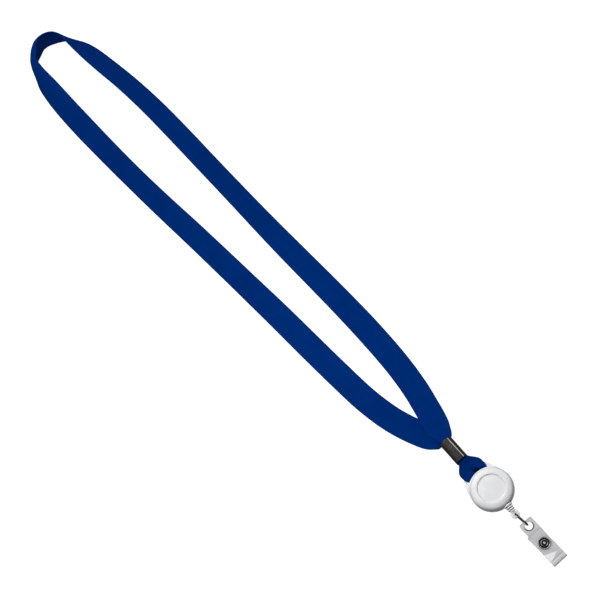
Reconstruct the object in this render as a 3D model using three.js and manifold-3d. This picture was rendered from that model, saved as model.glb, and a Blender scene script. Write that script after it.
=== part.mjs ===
// A neck lanyard with a retractable badge reel, lying flat.
//
// A flat woven strap makes the neck loop. Its two strands meet in a metal crimp sleeve, and past the
// sleeve the strap folds round the slot bar of a badge reel. The reel holds a cord on a sprung spool.
// On the cord's end are a ribbed fitting with an eye, a wire link and a vinyl strap with a press snap.
//
// Millimetres. +X runs from the neck to the clip, +Z up, and Z = 0 is the surface that it lies on.

import * as THREE from 'three';
import { mergeVertices } from 'three/addons/utils/BufferGeometryUtils.js';
import Module from 'manifold-3d';

const wasm = await Module();
wasm.setup();

// ---------------------------------------------------------------- dimensions

const GAP = 0.3; // clearance between pieces that touch on the real thing

const STRAP = {
  width: 19,
  thickness: 0.8,
  gatheredWidth: 7.2, // inside the crimp sleeve
  stepsPerSpan: 2, // between two points of its route
  lanes: 6,
};

const CRIMP = {
  centre: new THREE.Vector3(168.6, 1.35, 5.1),
  yaw: -3.4,
  length: 18.4,
  radius: 5.1,
  wall: 0.55,
  edge: 0.2,
  sides: 28,
};

// The neck strap's middle line from the crimp sleeve down the -Y strand, round the neck and back up
// the +Y strand: x, y, height of the lower edge, roll in degrees, width. A roll of 0 lies flat, and
// at 90 the strap stands on the edge that faces out of the loop. Round the back of the neck the strap
// also bulges outwards across its width, by the last number.
const LOWER_LAYER = 2.85;
const UPPER_LAYER = 5.25;
const FULL = STRAP.width;
const GATHERED = STRAP.gatheredWidth;
const NECK_ROUTE = [
  [168.2, 1.35, LOWER_LAYER, 0, GATHERED],
  [163, 1.7, LOWER_LAYER, 0, GATHERED],
  [159.2, 1.9, LOWER_LAYER, 0, GATHERED],
  [156.8, 1.25, 2.6, 0, 10.2],
  [152.6, -1.6, 2.1, 0, 15.2],
  [147.5, -4.7, 1.2, 2, 18],
  [140, -7.6, 0.5, 4, FULL],
  [131, -10.9, 0.2, 6, FULL],
  [117, -14.7, 0, 7, FULL],
  [95, -17.7, 0, 5, FULL],
  [66, -18.7, 0, 2, FULL],
  [36, -19.2, 0, 8, FULL],
  [6, -19.5, 0, 15, FULL],
  [-25, -20.2, 0, 22, FULL],
  [-55, -20.9, 0, 26, FULL],
  [-86, -21.8, 0, 29, FULL],
  [-117, -23, 0, 33, FULL],
  [-148, -23.7, 0, 35, FULL],
  [-179, -23.7, 0, 33, FULL],
  [-206, -23.2, 0, 31, FULL, 0.4],
  [-226, -22.4, 0, 33, FULL, 1.2],
  [-241, -21.2, 0, 37, FULL, 2.5],
  [-251, -19.9, 0, 46, FULL, 3.4],
  [-259.7, -17, 0, 66, FULL, 4.4],
  [-266.2, -13.5, 0, 82, FULL, 4.6],
  [-270, -8.3, 0, 94, FULL, 5.9],
  [-273.5, -2.8, 0, 107, FULL, 5.7],
  [-273.3, 2.3, 0, 109, FULL, 4.7],
  [-270, 8, 0, 103, FULL, 3.1],
  [-264.2, 12.4, 0, 85, FULL, 2],
  [-257, 15.6, 0, 63, FULL, 1.7],
  [-249, 17.8, 0, 49, FULL, 1.4],
  [-240, 19.2, 0, 41, FULL, 0.9],
  [-226, 20.7, 0, 37, FULL, 0.4],
  [-206, 22.6, 0, 35, FULL],
  [-180, 23.7, 0, 32, FULL],
  [-149, 23.4, 0, 30, FULL],
  [-118, 22.5, 0, 30, FULL],
  [-87, 21.7, 0, 29, FULL],
  [-56, 20.9, 0, 25, FULL],
  [-25, 20.5, 0, 18, FULL],
  [5, 20.4, 0, 13, FULL],
  [35, 20.1, 0, 8, FULL],
  [65, 19.1, 0, 2, FULL],
  [94, 16.8, 0.2, 3, FULL],
  [116, 13.3, 0.7, 3, FULL],
  [131, 9.6, 1.6, 0, FULL],
  [140, 7.2, 2.1, 0, FULL],
  [147.5, 5.1, 2.8, 0, 18],
  [152.6, 3.9, 4, 0, 15],
  [156.8, 2.5, 5, 0, 10.6],
  [159.2, 1.9, UPPER_LAYER, 0, GATHERED],
  [163, 1.7, UPPER_LAYER, 0, GATHERED],
  [168.2, 1.35, UPPER_LAYER, 0, GATHERED],
];

const REEL = {
  centre: new THREE.Vector3(207.4, 1.1, 0),
  backRadius: 16.2,
  backEdge: 0.4,
  innerRadius: 14.6,
  wallTop: 3.2, // of the back cover
  floor: 1.3,
  postRadius: 1.7,
  postTop: 8,
  postSlit: 0.5, // takes the inner end of the mainspring
  slitBottom: 6.3,
  sides: 32,
};

// The front cover's profile, as [radius, height] points.
const FRONT_COVER = {
  inside: [
    [0, 8.3],
    [13.6, 8.3],
    [14.4, 7.7],
    [14.6, 3.5],
  ],
  outside: [
    [16.1, 3.5],
    [15.75, 6.3],
    [15.65, 7.5],
    [15.25, 8.45],
    [14.4, 9.25],
    [13.15, 9.85],
    [11.75, 10.2],
    [10.4, 10.15],
  ],
  recess: [
    [10.05, 9.55],
    [9.9, 9.3],
    [0, 9.3],
  ],
};

const FLANGE = {
  bottom: 1.7,
  outerRadius: 21.2,
  cornerAngle: 29,
  sideEnd: [-2, 16.1],
  sideBulge: [-11, 14.9],
  slotInner: 16.2,
  slotOuter: 18.6,
  slotAngle: 33.5,
  segments: 12,
};

// The strap's fold through the reel's slot, seen from the side: x from the reel's centre, and z.
const LOOP = {
  width: 18.4,
  foldRadius: 17.4, // of the curved slot that the fold follows
  mouth: -29.6, // where it leaves the crimp sleeve
  spread: 6, // the distance in which it reaches its full width
  bar: -20.8, // the outer edge of the slot bar
  steps: 36,
  lanes: 4,
  profile: [
    [-38.4, 6.3],
    [-34, 6.3],
    [-29.6, 6.3],
    [-26.4, 5.9],
    [-23.2, 4.8],
    [-20.8, 4],
    [-18.8, 3.95],
    [-17.75, 3.6],
    [-17.4, 2.45],
    [-17.75, 1.3],
    [-18.8, 0.95],
    [-20.8, 0.95],
    [-23.4, 1.7],
    [-26.6, 3.1],
    [-29.6, 3.9],
    [-34, 3.9],
    [-38.4, 3.9],
  ],
};

const SPOOL = {
  bottom: 1.6,
  top: 7.4,
  flange: 0.8,
  flangeRadius: 13.2,
  hubRadius: 9.2,
  cavityRadius: 8,
  boreRadius: 2,
  sides: 30,
};

const CORD = {
  diameter: 0.8,
  woundRadius: 12,
  height: 4.2, // of the exit above the surface
  seat: 15.5, // from the reel's centre to the flat that the fitting stops at
  seatSize: [4, 7.8, 8.2],
  seatMiddle: 3.8, // its height above the surface
  yaw: -5,
  exitRadius: 0.95,
  exitLength: 6,
  exitSides: 16,
  sides: 8,
  runShare: 0.9, // of the way from the winding to the wall
};

const MAINSPRING = {
  innerRadius: 2.2,
  outerRadius: 7.5,
  turns: 5,
  stepsPerTurn: 16,
  thickness: 0.25,
  bottom: 2.8,
  height: 4.2,
};

// Along the cord's line, from the flat on the reel.
const FITTING = {
  start: 0.6,
  bodyRadius: 2,
  ribs: [
    { start: 0.6, end: 1.8, radius: 3.4 },
    { start: 2.5, end: 3.4, radius: 2.85 },
    { start: 4.2, end: 5.1, radius: 2.75 },
  ],
  end: 6.6,
  boreRadius: 0.75,
  chamberRadius: 1.35,
  chamberStart: 2.7,
  chamberEnd: 5.3,
  eyeCentre: 9.1,
  eyeRadius: 3.4,
  eyeHole: 1.45,
  eyeThickness: 1.8,
  eyeSides: 24,
  neckStart: 5.45, // of the flat web that carries the eye
  neckEnd: 8,
  sides: 20,
};

const KNOT = {
  radius: 1,
  centre: 4,
  sides: 10,
};

const LINK = {
  turn: 8.7, // yaw from the fitting's line
  wire: 1.2,
  arcRadius: 3.1,
  nearArc: 3.1, // from the eye's centre
  farArc: 8.8,
  height: 3.9,
  steps: 17, // of each half
  overlap: 0.04,
  sides: 8,
};

const CLIP = {
  turn: -5.4, // yaw from the link's line
  hole: new THREE.Vector2(12.95, 0.2), // in the link's frame
  holeRadius: 3.05,
  tabEnd: -4.8,
  tabWidth: 11.5,
  thickness: 0.6,
  baseBottom: 1.9,
  flapBottom: 5.5,
  side: 0.6, // how far the wide part lies towards -Y
  width: 12,
  stepAt: 9, // where the wide part starts
  tabInner: 12, // where the tab ends inside it
  flapEnd: 5.9,
  foldCentre: 32.4,
  corner: 1.4,
  segments: 4,
  holeSides: 24,
  rivetSides: 16,
  foldSteps: 12,
};

// The profiles are [radius, height] points: the cap's and the stud's from the face that they sit on,
// the socket's from its own top and the post's from the surface.
const SNAP = {
  x: 17.2,
  holeRadius: 1.5,
  capProfile: [
    [0, -1.5],
    [1.2, -1.5],
    [1.2, 0],
    [4.3, 0],
    [4.5, 0.3],
    [4.1, 0.8],
    [3.4, 0.8],
    [3, 0.4],
    [1.7, 0.4],
    [1.3, 0.8],
    [0, 0.8],
  ],
  socketProfile: [
    [2.75, -1.6],
    [4.2, -1.6],
    [4.2, 0],
    [1.5, 0],
    [1.5, -0.4],
    [2.75, -0.4],
    [2.75, -0.6],
    [3.6, -0.6],
    [3.6, -1.3],
    [2.75, -1.3],
  ],
  studProfile: [
    [1.5, 0],
    [4, 0],
    [4, 0.5],
    [2.15, 0.5],
    [2.4, 1.2],
    [2.1, 1.7],
    [1.5, 1.7],
  ],
  postProfile: [
    [0, 0],
    [3, 0],
    [3.8, 0.7],
    [3.8, 1.6],
    [1.2, 1.6],
    [1.2, 3.6],
    [0, 3.6],
  ],
  ringRadius: 3.05,
  ringWire: 0.2,
  ringOpening: 40,
  ringDepth: 0.95, // below the socket's top
  ringSteps: 20,
  ringSides: 6,
  sides: 20,
};

// ---------------------------------------------------------------- materials

const blueFabric = new THREE.MeshStandardMaterial({ color: 0x002a6e, roughness: 0.8, metalness: 0 });
const gunmetal = new THREE.MeshStandardMaterial({ color: 0x4a4745, roughness: 0.3, metalness: 1 });
const whitePlastic = new THREE.MeshStandardMaterial({ color: 0xececee, roughness: 0.35, metalness: 0 });
const clearPlastic = new THREE.MeshStandardMaterial({ color: 0xe4e7ea, roughness: 0.4, metalness: 0 });
const greyVinyl = new THREE.MeshStandardMaterial({ color: 0xc4c6ca, roughness: 0.35, metalness: 0 });
const darkSteel = new THREE.MeshStandardMaterial({ color: 0x6a6866, roughness: 0.28, metalness: 1 });
const springSteel = new THREE.MeshStandardMaterial({ color: 0x7d8086, roughness: 0.35, metalness: 1 });
const whiteCord = new THREE.MeshStandardMaterial({ color: 0xe8e8e4, roughness: 0.6, metalness: 0 });

// ---------------------------------------------------------------- helpers

const Z = new THREE.Vector3(0, 0, 1);
const radians = THREE.MathUtils.degToRad;

function piece(name, geometry, material) {
  const mesh = new THREE.Mesh(geometry, material);
  mesh.name = name;
  return mesh;
}

function toSolid(geometry) {
  const bare = geometry.clone();
  bare.deleteAttribute('normal');
  bare.deleteAttribute('uv');
  const merged = mergeVertices(bare, 1e-4);
  return new wasm.Manifold(new wasm.Mesh({
    numProp: 3,
    vertProperties: merged.attributes.position.array,
    triVerts: new Uint32Array(merged.index.array),
  }));
}

function toGeometry(solid) {
  const mesh = solid.getMesh();
  const geometry = new THREE.BufferGeometry();
  geometry.setAttribute('position', new THREE.BufferAttribute(mesh.vertProperties, mesh.numProp));
  geometry.setIndex(new THREE.BufferAttribute(mesh.triVerts, 1));
  const flat = geometry.toNonIndexed();
  flat.computeVertexNormals();
  return flat;
}

function cut(geometry, ...tools) {
  return toGeometry(tools.reduce((solid, tool) => solid.subtract(toSolid(tool)), toSolid(geometry)));
}

function join(...geometries) {
  return toGeometry(geometries.map(toSolid).reduce((a, b) => a.add(b)));
}

// A turned piece: its profile is [radius, z] points, listed from the bottom of the axis up the outside.
function turned(profile, sides) {
  const points = profile.map(([radius, z]) => new THREE.Vector2(radius, z));
  return new THREE.LatheGeometry(points, sides).rotateX(Math.PI / 2);
}

// A turned piece with a hole down its middle: the profile closes on itself.
function turnedRing(profile, sides) {
  return turned([...profile, profile[0]], sides);
}

function raised(profile, height) {
  return profile.map(([radius, z]) => [radius, z + height]);
}

function disc(radius, bottom, top, sides) {
  return turned([[0, bottom], [radius, bottom], [radius, top], [0, top]], sides);
}

function slab(shape, bottom, depth, curveSegments) {
  const geometry = new THREE.ExtrudeGeometry(shape, { depth, bevelEnabled: false, curveSegments });
  return geometry.translate(0, 0, bottom);
}

function roundSection(diameter, sides) {
  const corners = Array.from({ length: sides }, (_, i) => {
    const angle = 2 * Math.PI * i / sides;
    return new THREE.Vector2(Math.cos(angle), Math.sin(angle)).multiplyScalar(diameter / 2);
  });
  return new THREE.Shape(corners);
}

// A strip bent along a line. frameAt(u) gives its middle, the directions along and across it, its
// width and its thickness, and how far it bulges across its width, for u from 0 to 1.
function bentStrip(steps, lanes, frameAt) {
  const geometry = new THREE.BoxGeometry(1, 1, 1, steps, lanes, 1);
  const position = geometry.attributes.position;
  for (let i = 0; i < position.count; i += 1) {
    const { middle, along, across, width, thickness, bulge = 0 } = frameAt(position.getX(i) + 0.5);
    const up = along.clone().cross(across);
    const side = position.getY(i);
    const lift = bulge * (1 - 4 * side * side);
    const point = middle.clone()
      .addScaledVector(across, side * width)
      .addScaledVector(up, position.getZ(i) * thickness + lift);
    position.setXYZ(i, point.x, point.y, point.z);
  }
  geometry.computeVertexNormals();
  return geometry;
}

// The strap keeps its cross-section's area where it is gathered.
function strapThickness(width) {
  return STRAP.thickness * STRAP.width / width;
}

// ---------------------------------------------------------------- strap and crimp sleeve

function neckStrap() {
  const line = new THREE.CatmullRomCurve3(
    NECK_ROUTE.map(([x, y]) => new THREE.Vector3(x, y, 0)), false, 'centripetal');
  const pose = new THREE.CatmullRomCurve3(
    NECK_ROUTE.map(([, , lift, roll, width]) => new THREE.Vector3(lift, roll, width)), false, 'catmullrom');
  const bulges = new THREE.CatmullRomCurve3(
    NECK_ROUTE.map(([, , , , , bulge = 0]) => new THREE.Vector3(bulge, 0, 0)), false, 'catmullrom');
  const steps = STRAP.stepsPerSpan * (NECK_ROUTE.length - 1);
  return bentStrip(steps, STRAP.lanes, (t) => {
    const { x: lift, y: roll, z: flatWidth } = pose.getPoint(t);
    const angle = radians(roll);
    const thickness = strapThickness(flatWidth);
    const along = line.getTangent(t);
    const outwards = Z.clone().cross(along).normalize();
    const across = outwards.multiplyScalar(Math.cos(angle)).addScaledVector(Z, -Math.sin(angle));
    const middle = line.getPoint(t);
    const bulge = bulges.getPoint(t).x;
    const width = flatWidth - 8 * bulge * bulge / (3 * flatWidth); // an arc's chord
    const rise = (width * Math.sin(angle) + thickness * Math.abs(Math.cos(angle))) / 2;
    middle.z = Math.max(lift, 0) + rise;
    return { middle, along, across, width, thickness, bulge };
  });
}

function crimpSleeve() {
  const { length, radius, wall, edge, sides } = CRIMP;
  const half = length / 2;
  const tube = turnedRing([
    [radius - wall, -half],
    [radius - edge, -half],
    [radius, -half + edge],
    [radius, half - edge],
    [radius - edge, half],
    [radius - wall, half],
  ], sides);
  return tube.rotateY(Math.PI / 2);
}

// The fold that holds the reel. It leaves the sleeve gathered, spreads to its full width and goes over
// the slot bar, down through the curved slot and back under the bar.
function reelLoop() {
  const line = new THREE.CatmullRomCurve3(
    LOOP.profile.map(([x, z]) => new THREE.Vector3(x, 0, z)), false, 'centripetal');
  line.arcLengthDivisions = 1000;
  const across = new THREE.Vector3(0, 1, 0);
  const { mouth, spread, bar } = LOOP;
  const geometry = bentStrip(LOOP.steps, LOOP.lanes, (u) => {
    const middle = line.getPointAt(u);
    const opening = THREE.MathUtils.smoothstep(middle.x, mouth, mouth + spread);
    const width = THREE.MathUtils.lerp(GATHERED, LOOP.width, opening);
    return { middle, along: line.getTangentAt(u), across, width, thickness: strapThickness(width) };
  });
  const position = geometry.attributes.position;
  for (let i = 0; i < position.count; i += 1) {
    const y = position.getY(i);
    const sag = LOOP.foldRadius - Math.sqrt(LOOP.foldRadius ** 2 - y ** 2);
    const share = THREE.MathUtils.smoothstep(position.getX(i), mouth, bar);
    position.setX(i, position.getX(i) + sag * share);
  }
  geometry.computeVertexNormals();
  return geometry;
}

// ---------------------------------------------------------------- reel

// The flat on the side of the case where the cord comes out.
function exitSeat() {
  const [depth, width, height] = CORD.seatSize;
  const seat = new THREE.BoxGeometry(depth, width, height);
  return seat.translate(CORD.seat + depth / 2, 0, CORD.seatMiddle);
}

function exitHole() {
  const { exitRadius, exitLength, exitSides, yaw, seat, height } = CORD;
  const hole = new THREE.CylinderGeometry(exitRadius, exitRadius, exitLength, exitSides);
  return hole.rotateZ(Math.PI / 2 + radians(yaw)).translate(seat, 0, height);
}

function frontCover() {
  const { inside, outside, recess } = FRONT_COVER;
  const shell = turned([...inside, ...outside, ...recess], REEL.sides);
  return cut(shell, exitSeat(), exitHole());
}

// The shield-shaped flange that carries the slot bar, drawn to the case's outer circle.
function flangeOutline() {
  const { outerRadius, cornerAngle, sideEnd, sideBulge } = FLANGE;
  const corner = radians(180 - cornerAngle);
  const outline = new THREE.Shape();
  outline.moveTo(outerRadius * Math.cos(corner), outerRadius * Math.sin(corner));
  outline.absarc(0, 0, outerRadius, corner, -corner, false);
  outline.quadraticCurveTo(sideBulge[0], -sideBulge[1], sideEnd[0], -sideEnd[1]);
  const tangent = Math.atan2(sideEnd[1], sideEnd[0]);
  outline.absarc(0, 0, Math.hypot(...sideEnd), -tangent, tangent, false);
  outline.quadraticCurveTo(...sideBulge, outerRadius * Math.cos(corner), outerRadius * Math.sin(corner));
  return outline;
}

function slotOutline() {
  const { slotInner, slotOuter, slotAngle } = FLANGE;
  const end = radians(180 - slotAngle);
  const outline = new THREE.Shape();
  outline.absarc(0, 0, slotOuter, end, 2 * Math.PI - end, false);
  outline.absarc(0, 0, slotInner, -end, end, true);
  return outline;
}

function backCover() {
  const { backRadius, backEdge, innerRadius, floor, wallTop, sides } = REEL;
  const { postRadius, postTop, postSlit, slitBottom } = REEL;
  const cup = turned([
    [0, 0],
    [backRadius - backEdge, 0],
    [backRadius, backEdge],
    [backRadius, wallTop],
    [innerRadius, wallTop],
    [innerRadius, floor],
    [postRadius, floor],
    [postRadius, postTop],
    [0, postTop],
  ], sides);
  const flange = cut(
    slab(flangeOutline(), FLANGE.bottom, wallTop - FLANGE.bottom, FLANGE.segments),
    disc(innerRadius, 0, postTop, sides),
    slab(slotOutline(), 0, postTop, FLANGE.segments),
  );
  const slit = new THREE.BoxGeometry(postSlit, 2 * postRadius, 2 * (postTop - slitBottom));
  slit.translate(0, postRadius, postTop);
  return cut(join(cup, flange), exitSeat(), slit);
}

function spoolBody() {
  const { bottom, top, flange, flangeRadius, hubRadius, cavityRadius, boreRadius, sides } = SPOOL;
  return turnedRing([
    [boreRadius, bottom],
    [flangeRadius, bottom],
    [flangeRadius, bottom + flange],
    [hubRadius, bottom + flange],
    [hubRadius, top - flange],
    [flangeRadius, top - flange],
    [flangeRadius, top],
    [cavityRadius, top],
    [cavityRadius, bottom + flange],
    [boreRadius, bottom + flange],
  ], sides);
}

function cordWinding() {
  const { woundRadius, diameter } = CORD;
  const inner = SPOOL.hubRadius + GAP;
  const bottom = SPOOL.bottom + SPOOL.flange + GAP;
  const top = SPOOL.top - SPOOL.flange - GAP;
  return turnedRing([
    [inner, bottom],
    [woundRadius - diameter / 2, bottom],
    [woundRadius, bottom + diameter],
    [woundRadius, top - diameter],
    [woundRadius - diameter / 2, top],
    [inner, top],
  ], SPOOL.sides);
}

function mainspring() {
  const { innerRadius, outerRadius, turns, stepsPerTurn, thickness, bottom, height } = MAINSPRING;
  const steps = turns * stepsPerTurn;
  const edge = (side) => Array.from({ length: steps + 1 }, (_, i) => {
    const angle = 2 * Math.PI * i / stepsPerTurn;
    const radius = THREE.MathUtils.lerp(innerRadius, outerRadius, i / steps) + side * thickness / 2;
    return new THREE.Vector2(radius * Math.cos(angle), radius * Math.sin(angle));
  });
  return slab(new THREE.Shape([...edge(1), ...edge(-1).reverse()]), bottom, height, 1);
}

// ---------------------------------------------------------------- cord and its end fitting

// The stretch inside the case, from the winding to the exit.
function cordRun() {
  const tangentRadius = CORD.woundRadius + CORD.diameter / 2 + GAP;
  const inside = REEL.innerRadius - CORD.diameter / 2 - GAP;
  const angle = Math.acos(tangentRadius / inside);
  const start = new THREE.Vector3(Math.cos(-angle), Math.sin(-angle), 0).multiplyScalar(tangentRadius);
  const end = new THREE.Vector3(inside, 0, 0);
  const line = new THREE.LineCurve3(start, start.clone().lerp(end, CORD.runShare));
  const section = roundSection(CORD.diameter, CORD.sides);
  const run = new THREE.ExtrudeGeometry(section, { extrudePath: line, steps: 1, bevelEnabled: false });
  return run.translate(0, 0, CORD.height);
}

// From just inside the case to the knot.
function cordLead() {
  const start = REEL.innerRadius - CORD.seat + GAP;
  const end = KNOT.centre - KNOT.radius - GAP;
  const radius = CORD.diameter / 2;
  const lead = new THREE.CylinderGeometry(radius, radius, end - start, CORD.sides);
  return lead.rotateZ(Math.PI / 2).translate((start + end) / 2, 0, 0);
}

function cordKnot() {
  return new THREE.SphereGeometry(KNOT.radius, KNOT.sides, KNOT.sides).translate(KNOT.centre, 0, 0);
}

function endFitting() {
  const { start, bodyRadius, ribs, end, boreRadius, chamberRadius, chamberStart, chamberEnd } = FITTING;
  const { eyeCentre, eyeRadius, eyeHole, eyeThickness, eyeSides, neckStart, neckEnd, sides } = FITTING;
  const outside = ribs.flatMap((rib) => [
    [bodyRadius, rib.start],
    [rib.radius, rib.start],
    [rib.radius, rib.end],
    [bodyRadius, rib.end],
  ]);
  const body = turned([
    [boreRadius, start],
    ...outside.slice(1),
    [bodyRadius, end],
    [0, end],
    [0, chamberEnd],
    [chamberRadius, chamberEnd],
    [chamberRadius, chamberStart],
    [boreRadius, chamberStart],
    [boreRadius, start],
  ], sides).rotateY(Math.PI / 2);
  const neck = new THREE.BoxGeometry(neckEnd - neckStart, 2 * bodyRadius, eyeThickness);
  neck.translate((neckStart + neckEnd) / 2, 0, 0);
  const eye = disc(eyeRadius, -eyeThickness / 2, eyeThickness / 2, eyeSides).translate(eyeCentre, 0, 0);
  const hole = disc(eyeHole, -eyeThickness, eyeThickness, eyeSides).translate(eyeCentre, 0, 0);
  return cut(join(body, neck, eye), hole);
}

// ---------------------------------------------------------------- wire link

// The middle line of an oval standing on edge: straight along the bottom, round the far end, straight
// back along the top and round the near end.
class Oval extends THREE.Curve {
  getPoint(t, target = new THREE.Vector3()) {
    const { arcRadius, nearArc, farArc } = LINK;
    const straight = farArc - nearArc;
    const bend = Math.PI * arcRadius;
    const lap = (t % 1) * 2 * (straight + bend);
    const side = lap < straight + bend ? 1 : -1;
    const distance = lap % (straight + bend);
    const middle = (nearArc + farArc) / 2;
    if (distance < straight) {
      return target.set(middle + side * (distance - straight / 2), 0, -side * arcRadius);
    }
    const angle = (distance - straight) / arcRadius;
    const x = straight / 2 + arcRadius * Math.sin(angle);
    return target.set(middle + side * x, 0, -side * arcRadius * Math.cos(angle));
  }
}

// Two halves that overlap a little on the straights, so that the ring is endless.
function wireLink() {
  const { wire, steps, overlap, sides } = LINK;
  const oval = new Oval();
  const section = roundSection(wire, sides);
  const half = (from) => {
    const pointAt = (_, i) => oval.getPoint(from + i * (0.5 + overlap) / steps);
    const path = new THREE.CatmullRomCurve3(Array.from({ length: steps + 1 }, pointAt));
    return new THREE.ExtrudeGeometry(section, { extrudePath: path, steps, bevelEnabled: false });
  };
  return join(half(0), half(0.5));
}

// ---------------------------------------------------------------- vinyl strap and its press snap

// The strap's outline from x = from to x = to, with rounded corners at the from end.
function stripOutline(from, to, low, high) {
  const { corner } = CLIP;
  const outline = new THREE.Shape();
  outline.moveTo(to, low);
  outline.lineTo(to, high);
  outline.lineTo(from + corner, high);
  outline.quadraticCurveTo(from, high, from, high - corner);
  outline.lineTo(from, low + corner);
  outline.quadraticCurveTo(from, low, from + corner, low);
  return outline;
}

function wideEdges() {
  return [-CLIP.side - CLIP.width / 2, -CLIP.side + CLIP.width / 2];
}

function rivetHole(top) {
  return disc(SNAP.holeRadius, 0, top, CLIP.rivetSides).translate(SNAP.x, -CLIP.side, 0);
}

function clipBase() {
  const { tabEnd, tabWidth, thickness, baseBottom, holeRadius, holeSides } = CLIP;
  const { stepAt, tabInner, foldCentre, segments } = CLIP;
  const end = foldCentre - GAP / 2;
  const tabOutline = stripOutline(tabEnd, tabInner, -tabWidth / 2, tabWidth / 2);
  const tab = slab(tabOutline, baseBottom, thickness, segments);
  const wide = slab(stripOutline(stepAt, end, ...wideEdges()), baseBottom, thickness, segments);
  const hole = disc(holeRadius, 0, 2 * baseBottom, holeSides);
  return cut(join(tab, wide), hole, rivetHole(2 * baseBottom));
}

function clipFold() {
  const { thickness, baseBottom, flapBottom, foldCentre, width, foldSteps } = CLIP;
  const outer = (flapBottom + thickness - baseBottom) / 2;
  const half = Math.PI / 2;
  const section = new THREE.Shape();
  section.moveTo(0, -outer);
  section.absarc(GAP / 2, 0, outer, -half, half, false);
  section.absarc(GAP / 2, 0, outer - thickness, half, -half, true);
  const points = section.getPoints(foldSteps).slice(1);
  const fold = new THREE.ExtrudeGeometry(new THREE.Shape(points), { depth: width, bevelEnabled: false });
  fold.rotateX(Math.PI / 2);
  return fold.translate(foldCentre, width / 2 - CLIP.side, baseBottom + outer);
}

function clipFlap() {
  const { thickness, flapBottom, flapEnd, foldCentre, segments } = CLIP;
  const outline = stripOutline(flapEnd, foldCentre - GAP / 2, ...wideEdges());
  return cut(slab(outline, flapBottom, thickness, segments), rivetHole(2 * flapBottom));
}

function snapCap() {
  const seat = CLIP.flapBottom + CLIP.thickness + GAP;
  return turned(raised(SNAP.capProfile, seat), SNAP.sides);
}

function snapSocket() {
  return turnedRing(raised(SNAP.socketProfile, CLIP.flapBottom - GAP), SNAP.sides);
}

// The open ring of wire in the socket that grips the stud.
function snapRingSpring() {
  const { ringRadius, ringWire, ringOpening, ringDepth, ringSteps, ringSides } = SNAP;
  const half = radians(ringOpening / 2);
  const pointAt = (_, i) => {
    const angle = THREE.MathUtils.lerp(half, 2 * Math.PI - half, i / ringSteps);
    return new THREE.Vector3(Math.cos(angle), Math.sin(angle), 0).multiplyScalar(ringRadius);
  };
  const path = new THREE.CatmullRomCurve3(Array.from({ length: ringSteps + 1 }, pointAt));
  const section = roundSection(2 * ringWire, ringSides);
  const settings = { extrudePath: path, steps: ringSteps, bevelEnabled: false };
  return new THREE.ExtrudeGeometry(section, settings).translate(0, 0, CLIP.flapBottom - GAP - ringDepth);
}

function snapStud() {
  const seat = CLIP.baseBottom + CLIP.thickness + GAP;
  return turnedRing(raised(SNAP.studProfile, seat), SNAP.sides);
}

function snapPost() {
  return turned(SNAP.postProfile, SNAP.sides);
}

// ---------------------------------------------------------------- assembly

function at(x, y, z, yaw, ...children) {
  const group = new THREE.Group();
  group.position.set(x, y, z);
  group.rotation.z = radians(yaw);
  group.add(...children);
  return group;
}

function clip() {
  const snapPieces = [
    piece('snap_cap', snapCap(), darkSteel),
    piece('snap_socket', snapSocket(), darkSteel),
    piece('snap_ring_spring', snapRingSpring(), springSteel),
    piece('snap_stud', snapStud(), darkSteel),
    piece('snap_post', snapPost(), darkSteel),
  ];
  return at(CLIP.hole.x, CLIP.hole.y, -CORD.height, CLIP.turn,
    piece('clip_strap_base', clipBase(), greyVinyl),
    piece('clip_strap_fold', clipFold(), greyVinyl),
    piece('clip_strap_flap', clipFlap(), greyVinyl),
    at(SNAP.x, -CLIP.side, 0, 0, ...snapPieces));
}

function linkAndClip() {
  const link = piece('wire_link', wireLink(), darkSteel);
  link.position.z = LINK.height - CORD.height;
  return at(FITTING.eyeCentre, 0, 0, LINK.turn, link, clip());
}

function cordEnd() {
  return at(CORD.seat, 0, CORD.height, CORD.yaw,
    piece('cord_lead', cordLead(), whiteCord),
    piece('cord_knot', cordKnot(), whiteCord),
    piece('cord_end_fitting', endFitting(), whitePlastic),
    linkAndClip());
}

function reel() {
  const { x, y, z } = REEL.centre;
  return at(x, y, z, 0,
    piece('reel_loop', reelLoop(), blueFabric),
    piece('reel_front_cover', frontCover(), whitePlastic),
    piece('reel_back_cover', backCover(), clearPlastic),
    piece('spool', spoolBody(), whitePlastic),
    piece('mainspring', mainspring(), springSteel),
    piece('cord_winding', cordWinding(), whiteCord),
    piece('cord_run', cordRun(), whiteCord),
    cordEnd());
}

function sleeve() {
  const { x, y, z } = CRIMP.centre;
  return at(x, y, z, CRIMP.yaw, piece('crimp_sleeve', crimpSleeve(), gunmetal));
}

const lanyard = new THREE.Group();
lanyard.add(piece('neck_strap', neckStrap(), blueFabric), sleeve(), reel());

export default lanyard;
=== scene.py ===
# The lanyard's looks: a woven neck strap, a crimp sleeve, a badge reel, a wire link and a vinyl badge strap.
# Shapes are written in millimetres, and MM turns them into Blender's metres.
import math

import bmesh
import bpy
from mathutils import Matrix, Vector

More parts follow.
